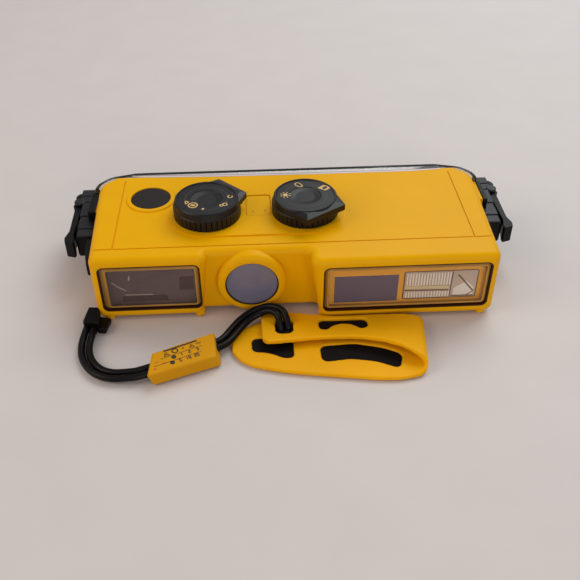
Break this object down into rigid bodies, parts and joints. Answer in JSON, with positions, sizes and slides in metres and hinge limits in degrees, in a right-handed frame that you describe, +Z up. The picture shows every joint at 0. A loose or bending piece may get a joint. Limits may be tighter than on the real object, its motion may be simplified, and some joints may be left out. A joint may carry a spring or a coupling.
{
  "type": "underwater film camera",
  "caption": "Sealed underwater cartridge film camera with top dials, side latches, clear removable back, built-in flash and a wrist strap.",
  "frame": {"origin": "under the middle of the camera, on the surface that its feet stand on; the strap lies in front", "axes": "+X along the width, to the flash side; +Y from the front to the clear back; +Z up"},
  "size_m": [0.1934, 0.1089, 0.0397],
  "materials": {
    "yellow_housing": "glossy moulded yellow",
    "clear_cover": "clear moulded plastic",
    "clear_pane": "clear, slightly smoked",
    "port_glass": "grey coated glass",
    "seal_rubber": "soft black",
    "flash_panel": "yellow-orange panel",
    "bare_plate": "dark grey, bare",
    "lamp_lens": "clear, ribbed",
    "reflector": "bright",
    "inner_black": "matt black",
    "dial_black": "satin black with gold icons",
    "latch_black": "satin black",
    "steel": "plain",
    "brass": "turned",
    "circuit_green": "coated board",
    "capacitor_can": "sleeved can",
    "cell_case": "plain sleeve",
    "cartridge_black": "film cartridge",
    "strap_cord": "glossy black cord",
    "strap_black": "black",
    "strap_yellow": "soft yellow band and slider",
    "button_dark": "dark brown button"
  },
  "bodies": {
    "camera_body": {"front_housing": "yellow_housing", "finder_window": "clear_pane", "finder_gasket": "seal_rubber", "flash_window": "clear_pane", "flash_gasket": "seal_rubber", "flash_bezel": "flash_panel", "label_plate": "bare_plate", "flash_lens": "lamp_lens", "flash_reflector": "reflector", "flash_tube": "lamp_lens", "port_glass": "port_glass", "port_ring": "seal_rubber", "inner_chassis": "inner_black", "film_cartridge": "cartridge_black", "finder_hood": "inner_black", "finder_objective": "clear_pane", "finder_eyepiece": "clear_pane", "circuit_board": "circuit_green", "flash_capacitor": "capacitor_can", "aa_battery": "cell_case", "battery_cradle": "inner_black", "battery_contacts": "steel", "dial_seals": "seal_rubber", "tripod_socket": "brass", "latch_catch_right": "latch_black", "latch_catch_left": "latch_black", "strap_lug": "latch_black", "strap_clip": "strap_black", "strap_cord_outer": "strap_cord", "strap_cord_inner": "strap_cord", "strap_tag": "strap_yellow", "strap_grip": "strap_yellow", "grip_core": "strap_black"},
    "shutter_release": {"shutter_button": "button_dark"},
    "focus_control": {"focus_dial": "dial_black", "focus_shaft": "steel"},
    "exposure_control": {"exposure_dial": "dial_black", "exposure_shaft": "steel"},
    "lens_cell": {"lens_barrel": "inner_black", "front_element": "port_glass", "rear_element": "port_glass"},
    "stop_plate": {"aperture_disc": "steel"},
    "shutter_vane": {"shutter_blade": "inner_black"},
    "cover_assembly": {"back_cover": "clear_cover", "cover_gasket": "seal_rubber", "latch_bracket_right": "latch_black", "latch_bracket_left": "latch_black", "latch_pin_right": "steel", "latch_pin_left": "steel"},
    "latch_right": {"latch_lever_right": "latch_black"},
    "latch_left": {"latch_lever_left": "latch_black"},
    "advance": {"advance_lever": "inner_black"}
  },
  "joints": [
    {"name": "shutter_press", "type": "slide", "parent": "camera_body", "child": "shutter_release", "axis": [0, 0, -1], "range_m": [0, 0.0012], "stiffness_N_per_m": 900, "springref_m": -0.001},
    {"name": "shutter_open", "type": "slide", "parent": "camera_body", "child": "shutter_vane", "axis": [-1, 0, 0], "range_m": [0, 0.009]},
    {"name": "focus_turn", "type": "hinge", "parent": "camera_body", "child": "focus_control", "pos_m": [-0.0352, -0.0013, 0.035], "axis": [0, 0, 1], "range_deg": [-60, 60]},
    {"name": "lens_focus", "type": "slide", "parent": "camera_body", "child": "lens_cell", "axis": [0, -1, 0], "range_m": [-0.00075, 0.00075]},
    {"name": "exposure_turn", "type": "hinge", "parent": "camera_body", "child": "exposure_control", "pos_m": [0.0059, -0.0013, 0.035], "axis": [0, 0, 1], "range_deg": [-70, 70]},
    {"name": "aperture_turn", "type": "hinge", "parent": "camera_body", "child": "stop_plate", "pos_m": [-0.0086, -0.0076, 0.0163], "axis": [0, 1, 0], "range_deg": [-35, 35]},
    {"name": "cover_release", "type": "slide", "parent": "camera_body", "child": "cover_assembly", "axis": [0, 1, 0], "range_m": [0, 0.014]},
    {"name": "latch_right_open", "type": "hinge", "parent": "cover_assembly", "child": "latch_right", "pos_m": [0.0927, 0.0301, 0.0177], "axis": [0, 0, 1], "range_deg": [0, 105.2]},
    {"name": "latch_left_open", "type": "hinge", "parent": "cover_assembly", "child": "latch_left", "pos_m": [-0.0927, 0.0301, 0.0177], "axis": [0, 0, -1], "range_deg": [0, 105.2]},
    {"name": "film_advance", "type": "hinge", "parent": "camera_body", "child": "advance", "pos_m": [0.0145, 0.0169, 0.002], "axis": [0, 0, 1], "range_deg": [-60, 0], "stiffness_Nm_per_rad": 0.02, "springref_deg": 17.19}
  ],
  "couplings": [
    {"joint": "shutter_open", "follows": "shutter_press", "ratio": 7.5},
    {"joint": "focus_turn", "follows": "lens_focus", "rad_per_m": 1396},
    {"joint": "aperture_turn", "follows": "exposure_turn", "ratio": 0.5},
    {"joint": "latch_right_open", "follows": "cover_release", "rad_per_m": 130.8},
    {"joint": "latch_left_open", "follows": "cover_release", "rad_per_m": 130.8}
  ]
}
